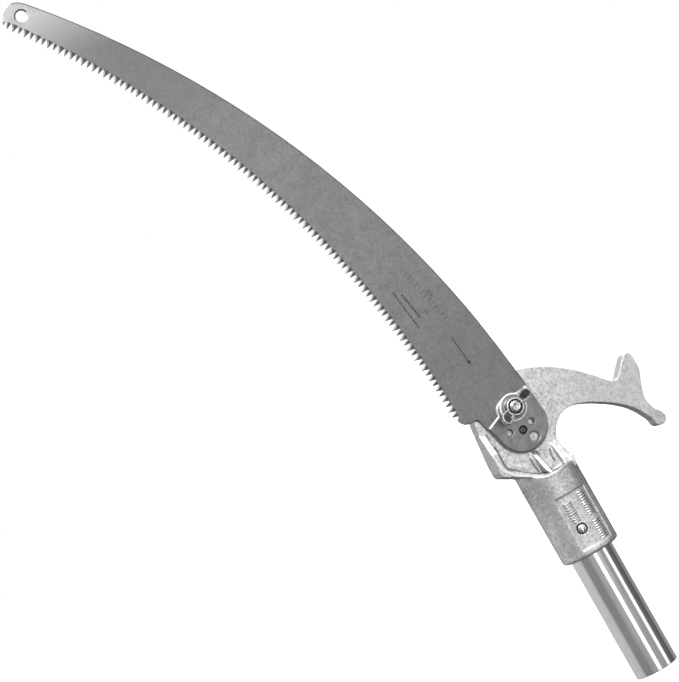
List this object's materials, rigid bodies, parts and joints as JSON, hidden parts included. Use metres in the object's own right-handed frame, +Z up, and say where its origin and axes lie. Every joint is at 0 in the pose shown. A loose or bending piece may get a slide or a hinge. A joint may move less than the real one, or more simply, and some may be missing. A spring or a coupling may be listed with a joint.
{
  "type": "pole pruning saw head",
  "caption": "Pole pruning saw head: curved toothed blade clamped by a wing nut to a cast socket with a branch hook, on a tube stub with a snap button.",
  "frame": {"origin": "centre of the pole tube's open lower end", "axes": "+Z up along the pole tube towards the blade, -Y out of the blade's clamped face, -X towards the teeth, +X towards the hook"},
  "size_m": [0.2727, 0.045, 0.6106],
  "materials": {
    "cast_aluminium": "sand-cast grain, matt",
    "blade_steel": "satin rolled steel with ground tooth bevels",
    "clamp_steel": "satin",
    "bolt_zinc": "bright zinc plate",
    "pin_steel": "dark oiled steel",
    "washer_zinc": "dulled zinc plate with a bright rubbed rim",
    "wing_nut_zinc": "die-cast, zinc plated",
    "tube_aluminium": "polished drawn tube",
    "button_chrome": "polished dome",
    "spring_steel": "spring strip"
  },
  "bodies": {
    "head": {"head_casting": "cast_aluminium", "blade_bolt": "bolt_zinc", "locating_pin": "pin_steel", "pole_tube": "tube_aluminium", "snap_spring": "spring_steel"},
    "blade": {"saw_blade": "blade_steel"},
    "clamp": {"clamp_plate": "clamp_steel"},
    "washer": {"flat_washer": "washer_zinc"},
    "nut": {"wing_nut": "wing_nut_zinc"},
    "button": {"snap_button": "button_chrome"}
  },
  "joints": [
    {"name": "wing_nut_turn", "type": "hinge", "parent": "washer", "child": "nut", "pos_m": [-0.0007, -0.0126, 0.206], "axis": [0, -1, 0], "range_deg": [0, 1440]},
    {"name": "washer_lift", "type": "slide", "parent": "head", "child": "washer", "axis": [0, -1, 0], "range_m": [0, 0.00564]},
    {"name": "clamp_lift", "type": "slide", "parent": "head", "child": "clamp", "axis": [0, -1, 0], "range_m": [0, 0.00442]},
    {"name": "blade_lift", "type": "slide", "parent": "head", "child": "blade", "axis": [0, -1, 0], "range_m": [0, 0.00322]},
    {"name": "snap_button_press", "type": "slide", "parent": "head", "child": "button", "axis": [0.1564, 0.9877, 0], "range_m": [0, 0.0063], "stiffness_N_per_m": 1500, "deforming": ["snap_spring"]}
  ],
  "couplings": [
    {"joint": "wing_nut_turn", "follows": "washer_lift", "rad_per_m": 4452.7},
    {"joint": "clamp_lift", "follows": "washer_lift", "ratio": 0.78},
    {"joint": "blade_lift", "follows": "washer_lift", "ratio": 0.567}
  ]
}
